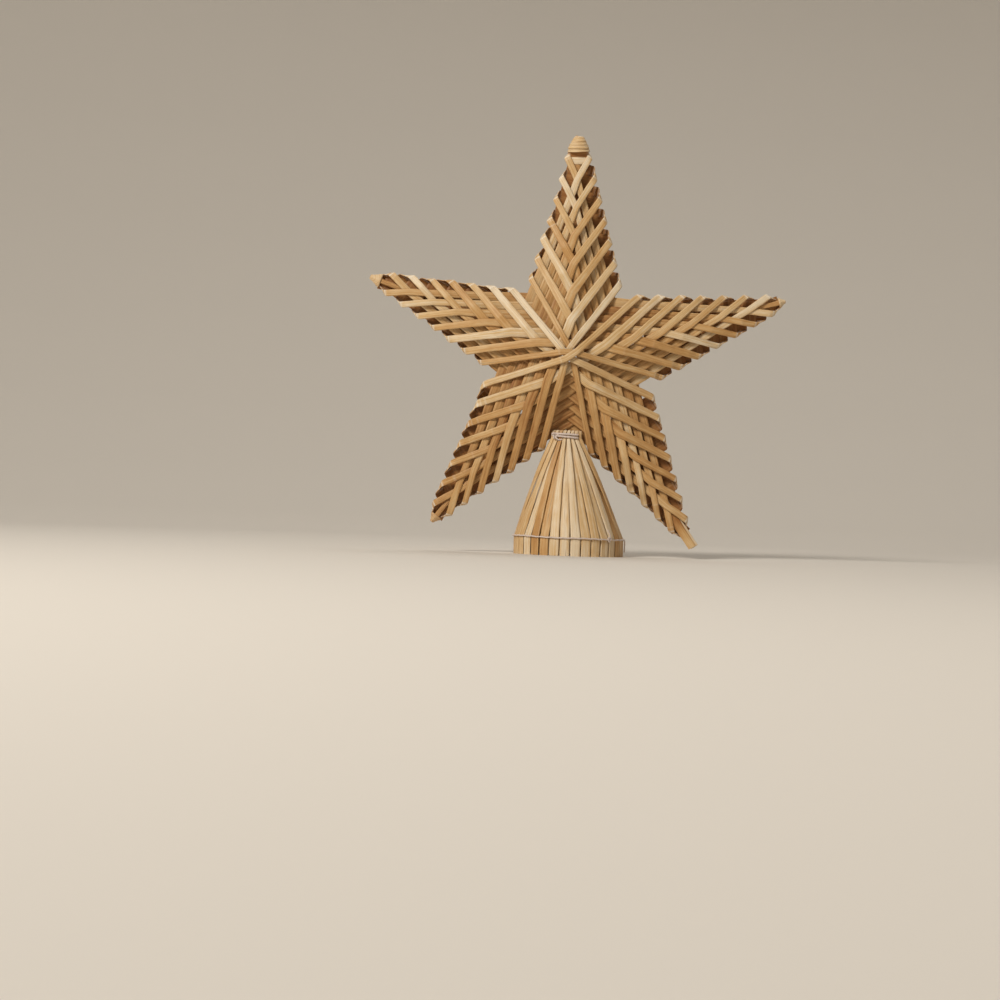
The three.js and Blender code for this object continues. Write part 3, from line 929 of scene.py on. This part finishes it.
for arm, tone in HEAD_TONES.items():
    head, sideways, way = fold_head(arm)
    soft_edges = head.modifiers.new("soft_edges", "BEVEL")
    soft_edges.width = HEAD_EDGE * MM
    soft_edges.segments = 2
    soft_edges.limit_method = "ANGLE"
    soft_edges.angle_limit = math.radians(20)
    bpy.ops.object.modifier_apply(modifier="soft_edges")
    bpy.ops.object.shade_smooth_by_angle(angle=math.radians(35))
    for uv_layer in list(head.data.uv_layers):
        head.data.uv_layers.remove(uv_layer)
    map_flat(head, sideways, way + FRONT)
    set_attribute(head, "tone", tone)
    set_attribute(head, "crease", HEAD_CREASE)
    finish_straw(head, winding_finish, "tip_straw", "tip_" + arm)
print("folded heads:", len(HEAD_TONES))

# %% [markdown]
# The top bud is a straw wound round and round a cone, each turn half over the one below it. Under
# it a straw toned dark brown makes a collar, whose dark tone is painted shadow under the bud, and a
# bleached one is wrapped straight across the arm's tip.

# %% Wind the bud and wrap the tip
BUD_TURNS = 4.2
BUD_STEPS = 180
BUD_DIP = 1.1  # the turns hang lower in front
BUD_HEIGHTS = (-1.2, 0.6, 5.6, 6.6)  # above the plug's broadest place
BUD_HALF_WIDTHS = (5.7, 6.0, 3.6, 2.6)
BUD_HALF_DEPTHS = (4.2, 4.6, 2.9, 2.1)
BUD_STRAW = (3.4, 0.5)  # width and thickness
BUD_SLOPE = 0.55  # how far the straw leans in on the cone
BUD_TONE = 0.3
BUD_SAMPLE = 200  # where the straw is turned to face outwards

(middles, *_), way = plug_of("top")
sideways = np.cross(FRONT, way)
share = np.linspace(0, 1, BUD_STEPS)
angle = share * BUD_TURNS * math.tau - math.pi / 2  # it starts behind
rise = BUD_HEIGHTS[0] + share * (BUD_HEIGHTS[-1] - BUD_HEIGHTS[0])
half_width = np.interp(rise, BUD_HEIGHTS, BUD_HALF_WIDTHS)
half_depth = np.interp(rise, BUD_HEIGHTS, BUD_HALF_DEPTHS)
bud_middles = (
    middles[2]
    + way * (rise - BUD_DIP * (1 - share) * np.sin(angle))[:, None]
    + sideways * (half_width * np.cos(angle))[:, None]
    + FRONT * (half_depth * np.sin(angle))[:, None]
)
lean_in = sideways * np.cos(angle)[:, None] + FRONT * np.sin(angle)[:, None]
bud_acrosses = unit(way - BUD_SLOPE * lean_in)
bud_widths, bud_depths = (np.full(BUD_STEPS, size) for size in BUD_STRAW)
line = soften((bud_middles, bud_acrosses, bud_widths, bud_depths), 0.5)
step_places = np.linspace(0, line["place"][-1], BUD_STEPS)
step = np.searchsorted(step_places, line["place"][BUD_SAMPLE])
face_towards(line, BUD_SAMPLE, lean_in[step])
bud = lay_straw("bud_straw", line, BUD_TONE, wander=0.25, roll=5)
finish_straw(bud, skirt_finish, "tip_straw")

WRAP_PATH = ((-1, -1), (-0.98, 0.4), (-0.9, 1.2), (0, 1.5), (0.9, 1.2), (0.98, 0.4), (1, -1))
WRAP_THICKNESS = 0.7
WRAPS = (  # name, below the bud, half as wide, width and tone of the straw
    # The collar's darkest tone is painted shadow under the bud.
    ("tip_collar", 3.4, 5.9, 5.0, 1.0),
    ("tip_wrap", 7.4, 6.6, 4.6, 0.12),
)
for name, drop, half, width, tone in WRAPS:
    wrap_middles = np.array(
        [middles[2] - way * drop + sideways * side * half + FRONT * out for side, out in WRAP_PATH]
    )
    sizes = np.ones(len(WRAP_PATH))
    wrap_acrosses = np.tile(way, (len(WRAP_PATH), 1))
    line = soften((wrap_middles, wrap_acrosses, sizes * width, sizes * WRAP_THICKNESS), 0.6)
    face_towards(line, len(line["place"]) // 2, FRONT)
    wrap = lay_straw(name, line, tone, arch=0.35)
    finish_straw(wrap, skirt_finish, "tip_straw")

bpy.data.objects.remove(pattern)

# %% [markdown]
# ## Thread
#
# Undyed cotton thread holds the skirt: one turn round the foot with a knot and two loose ends, and
# two turns round the neck. A thread is three strands twisted together, so its section has three
# lobes and turns as it goes.

# %% Finish of the thread
COTTON_SHADE, COTTON_LIGHT = (0.5, 0.37, 0.3, 1), (0.88, 0.78, 0.71, 1)
COTTON_RELIEF = 0.0001  # metres

cotton = bpy.data.materials.new("cotton_thread")
cotton.use_nodes = True
cotton_tree = cotton.node_tree
cotton_surface = cotton_tree.nodes["Principled BSDF"]
cotton_map = add_node(cotton_tree, "UVMap", uv_map=PIECE_MAP)
cotton_fibre = feed(cotton_tree, place_group(cotton_tree, fibre_group), Map=cotton_map.outputs[0])
cotton_fibres = cotton_fibre.outputs["Fibres"]
cotton_colour = mix_colours(cotton_tree, cotton_fibres, COTTON_SHADE, COTTON_LIGHT)
cotton_tree.links.new(cotton_colour, cotton_surface.inputs["Base Color"])
cotton_rough = math_node(cotton_tree, "MULTIPLY_ADD", cotton_fibre.outputs["Blotches"], 0.2)
feed(cotton_tree, cotton_rough.node, i2=0.72)
cotton_tree.links.new(cotton_rough, cotton_surface.inputs["Roughness"])
cotton_relief = add_node(cotton_tree, "Bump")
feed(cotton_tree, cotton_relief, Strength=0.6, Distance=COTTON_RELIEF, Height=cotton_fibres)
cotton_tree.links.new(cotton_relief.outputs[0], cotton_surface.inputs["Normal"])
cotton_surface.inputs["Sheen Weight"].default_value = 0.3

# %% Twist a thread along a path
LOBES = 3
LOBE_POINTS = 4
THREAD_STEP = 0.28  # millimetres between rings
THREAD_TWIST = 2.6  # millimetres for one turn
LOBE_TOP, LOBE_VALLEY = 0.5, 0.36  # from the thread's middle, as shares of its diameter


def section_of_thread():
    count = LOBES * LOBE_POINTS
    angles = [math.tau * i / count for i in range(count)]
    sizes = [LOBE_TOP if i % LOBE_POINTS else LOBE_VALLEY for i in range(count)]
    return [(size * math.cos(a), size * math.sin(a), 0) for a, size in zip(angles, sizes)]


ASIDE = (0.13, 0.21, 1.0)  # a way that no thread runs along


def twist_thread(name, path, diameter, softness=0.5):
    """A thread along points, in millimetres."""
    path = np.array(path, float)
    places = np.r_[0, np.cumsum(np.linalg.norm(np.diff(path, axis=0), axis=1))]
    fine = np.arange(0, places[-1], SAMPLE)
    middle = np.stack([np.interp(fine, places, column) for column in path.T], axis=1)
    middle = blur(middle, softness)
    along = unit(np.gradient(middle, axis=0))
    side = unit(np.cross(along, ASIDE))
    up = np.cross(side, along)

    rings = int(places[-1] / THREAD_STEP) + 2
    thread = long_tube(name, section_of_thread(), rings)
    bpy.ops.object.mode_set(mode="EDIT")
    for end in (0, rings - 1):
        select_rings(thread.data, end - 0.01, end + 0.01)
        bpy.ops.mesh.edge_face_add()
    bpy.ops.mesh.select_all(action="SELECT")
    bpy.ops.mesh.normals_make_consistent(inside=False)
    bpy.ops.object.mode_set(mode="OBJECT")

    local = np.array([vertex.co for vertex in thread.data.vertices])
    ring_places = local[:, 2] * fine[-1] / (rings - 1)
    twist = ring_places * math.tau / THREAD_TWIST
    x = (local[:, 0] * np.cos(twist) - local[:, 1] * np.sin(twist)) * diameter
    y = (local[:, 0] * np.sin(twist) + local[:, 1] * np.cos(twist)) * diameter

    def at_rings(values):
        return np.stack([np.interp(ring_places, fine, column) for column in values.T], axis=1)

    points = at_rings(middle) + at_rings(side) * x[:, None] + at_rings(up) * y[:, None]
    thread_map = thread.data.uv_layers.new(name=PIECE_MAP)
    round_place = np.arctan2(local[:, 1], local[:, 0]) * diameter
    for loop in thread.data.loops:
        i = loop.vertex_index
        thread_map.data[loop.index].uv = (ring_places[i], round_place[i])
    thread.data.vertices.foreach_set("co", (points * MM).ravel())
    thread.data.update()
    bpy.ops.object.shade_smooth()
    return thread


KNOT_STEPS = 60


def knot_path(centre, size, turned):
    """A trefoil, which is the shape of a plain knot, round a point."""
    points = []
    for i in range(KNOT_STEPS + 1):
        t = math.tau * i / KNOT_STEPS
        x = math.sin(t) + 2 * math.sin(2 * t)
        z = math.cos(t) - 2 * math.cos(2 * t)
        c, s = math.cos(turned), math.sin(turned)
        points.append(np.array(centre) + size * np.array((x * c, x * s - math.sin(3 * t), z)) / 3)
    return points


def join_threads(name, threads, *nodes):
    deselect()
    for thread in threads:
        thread.select_set(True)
    bpy.context.view_layer.objects.active = threads[0]
    bpy.ops.object.join()
    piece = bpy.context.object
    piece.name = piece.data.name = name
    finish_straw(piece, cotton, "thread", *nodes)
    print(name, len(piece.data.polygons), "faces")


# %% Thread round the foot
FOOT_THREAD = 0.95
KNOT_ANGLE = 44  # degrees from the front, to the right
LOOSE_ANGLE = 79
END_THREAD = 0.8
# Points of the two loose ends, as degrees past an angle, then outwards and upwards.
END_UP = ((0, 0.6, 0.4), (0.6, 0.8, 2.2), (-0.8, 0.2, 4.2), (-2.4, -0.2, 5.8))
END_DOWN = ((-4, 0.2, 0.2), (0, 0.7, -0.6), (1.5, 0.6, -3.4), (0.5, 0.5, -7.6))

low, high = (np.array(corner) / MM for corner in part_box("skirt_thread"))
ring_middle = (low + high) / 2
ring_radius = (high[0] - low[0] - FOOT_THREAD) / 2
ring_drop = (high[2] - low[2] - FOOT_THREAD) / 2 / ring_radius


def ring_point(degrees, out=0.0, up=0.0):
    """A point on the ring, which drops a little to the right."""
    a = math.radians(degrees)
    radius = ring_radius + out
    x, y = radius * math.sin(a), -radius * math.cos(a)
    return ring_middle + np.array((x, y, up - x * ring_drop))


def loose_end(name, angle, offsets):
    path = [ring_point(angle + turn, out, up) for turn, out, up in offsets]
    return twist_thread(name, path, END_THREAD)


ring_path = []
for i in range(181):
    degrees = KNOT_ANGLE + 2 * i
    sag = 0.12 * math.sin(math.radians(degrees) * 32) + 0.14 * math.sin(math.radians(degrees) * 5)
    ring_path.append(ring_point(degrees, 0.03, sag))
foot_knot = knot_path(ring_point(KNOT_ANGLE, 0.5, 0.1), 1.5, math.radians(KNOT_ANGLE))
foot_threads = [
    twist_thread("foot_ring", ring_path, FOOT_THREAD, 0.4),
    twist_thread("foot_knot", foot_knot, 0.85, 0.25),
    loose_end("foot_end_up", KNOT_ANGLE, END_UP),
    loose_end("foot_end_down", LOOSE_ANGLE, END_DOWN),
]
join_threads("foot_thread", foot_threads, "skirt_thread")

# %% Thread round the neck
NECK_THREAD = 1.25
BINDING_SIZE = (3.2, 1.0)
NECK_TUCK = 2.2  # how far the turns' ends go in behind the band
NECK_END = ((0.4, -1.2, -0.6), (1.8, -1.7, -2.4), (3.6, -1.3, -3.1), (5, -1.0, -2.3))


def neck_turns(node, towards):
    """Two turns of thread along a packed band, with both ends tucked in behind it."""
    middles = stations_of(node, *BINDING_SIZE)[0]
    if middles[0, 0] > middles[-1, 0]:
        middles = middles[::-1]
    tucks = middles[[0, -1]] - towards * NECK_TUCK
    path = np.vstack([tucks[:1], middles, tucks[1:]])
    run = np.linspace(0, 1, len(path))[:, None]
    up = np.array((0, 0, 1.0))
    out = towards * 0.15
    return [path + up * (0.95 - 0.5 * run) + out, path - up * (0.25 + 1.25 * run) + out], middles


turns, middles = neck_turns("neck_binding_front", FRONT)
left_end = middles[0]
front_threads = [
    twist_thread(f"neck_turn_{i + 1}", path, NECK_THREAD, 0.6) for i, path in enumerate(turns)
]
neck_knot = knot_path(left_end + FRONT * 0.9 + (0.6, 0, -0.2), 1.9, 0.2)
front_threads.append(twist_thread("neck_knot", neck_knot, 1.05, 0.3))
neck_end = [left_end + np.array(offset) for offset in NECK_END]
front_threads.append(twist_thread("neck_end", neck_end, 0.95, 0.5))
join_threads("neck_thread_front", front_threads, "neck_binding_front")

turns, _ = neck_turns("neck_binding_back", -FRONT)
back_threads = [
    twist_thread(f"neck_back_turn_{i + 1}", path, NECK_THREAD, 0.6) for i, path in enumerate(turns)
]
join_threads("neck_thread_back", back_threads, "neck_binding_back")

# %% [markdown]
# ## The studio
#
# A pale floor that curves up into walls all round, instead of ending in an edge, with one strong
# light from the upper left, a weak one from the right and one from above and behind.

# %% Floor
FLOOR_RADIUS = 1.4
FLOOR_MIDDLE = -0.85  # the floor reaches further in front, under the camera
SWEEP_RADIUS = 1.2
WALL_TOP = 2.6
INSET = 0.6  # width of the ring of faces inside the flat floor's rim, as a share of its radius

deselect()
bpy.ops.mesh.primitive_circle_add(vertices=96, radius=FLOOR_RADIUS, fill_type="NGON")
floor = bpy.context.object
floor.name = "floor"
bpy.ops.object.mode_set(mode="EDIT")
bpy.ops.mesh.select_all(action="SELECT")
bpy.ops.mesh.inset(thickness=FLOOR_RADIUS * INSET)
bpy.ops.object.mode_set(mode="OBJECT")


def select_rim(mesh, radius):
    bpy.ops.object.mode_set(mode="OBJECT")
    for item in (*mesh.polygons, *mesh.edges):
        item.select = False
    for vertex in mesh.vertices:
        vertex.select = vertex.co.xy.length > radius
    for edge in mesh.edges:
        edge.select = all(mesh.vertices[i].select for i in edge.vertices)
    bpy.ops.object.mode_set(mode="EDIT")


SWEEP_STEPS = 10
radius, height = FLOOR_RADIUS, 0.0
select_rim(floor.data, FLOOR_RADIUS - 0.001)
for step in range(1, SWEEP_STEPS + 1):
    angle = math.pi / 2 * step / SWEEP_STEPS
    new_radius = FLOOR_RADIUS + SWEEP_RADIUS * math.sin(angle)
    new_height = SWEEP_RADIUS * (1 - math.cos(angle))
    rise = {"value": (0, 0, new_height - height)}
    bpy.ops.mesh.extrude_region_move(TRANSFORM_OT_translate=rise)
    grow = new_radius / radius
    bpy.ops.transform.resize(value=(grow, grow, 1), center_override=(0, 0, 0))
    radius, height = new_radius, new_height
bpy.ops.mesh.extrude_region_move(TRANSFORM_OT_translate={"value": (0, 0, WALL_TOP - height)})
bpy.ops.mesh.select_all(action="SELECT")
bpy.ops.mesh.normals_make_consistent(inside=True)
bpy.ops.transform.translate(value=(0, FLOOR_MIDDLE, 0))
bpy.ops.object.mode_set(mode="OBJECT")
bpy.ops.object.shade_smooth()

paper = bpy.data.materials.new("studio_paper")
paper.use_nodes = True
paper_surface = paper.node_tree.nodes["Principled BSDF"]
paper_surface.inputs["Base Color"].default_value = (0.7, 0.65, 0.58, 1)
paper_surface.inputs["Roughness"].default_value = 0.9
floor.data.materials.append(paper)

# %% Lights
AIM = Vector((0, 0, 0.12))


def add_light(name, place, size, power, colour):
    data = bpy.data.lights.new(name, "AREA")
    data.size = size
    data.energy = power
    data.color = colour
    light = bpy.data.objects.new(name, data)
    light.location = place
    light.rotation_euler = (AIM - Vector(place)).to_track_quat("-Z", "Y").to_euler()
    light.visible_camera = False
    bpy.context.scene.collection.objects.link(light)


add_light("key", (-0.9, -1.25, 1.15), 0.5, 26, (1.0, 0.96, 0.9))
add_light("fill", (1.3, -1.1, 0.5), 1.0, 1.2, (1.0, 0.97, 0.94))
add_light("top", (0.2, 0.5, 1.4), 0.8, 6, (1.0, 0.98, 0.95))

world = bpy.data.worlds.new("studio_air")
world.use_nodes = True
background = world.node_tree.nodes["Background"]
background.inputs["Color"].default_value = (1.0, 0.96, 0.9, 1)
background.inputs["Strength"].default_value = 0.1
bpy.context.scene.world = world
bpy.context.scene.view_settings.view_transform = "Standard"
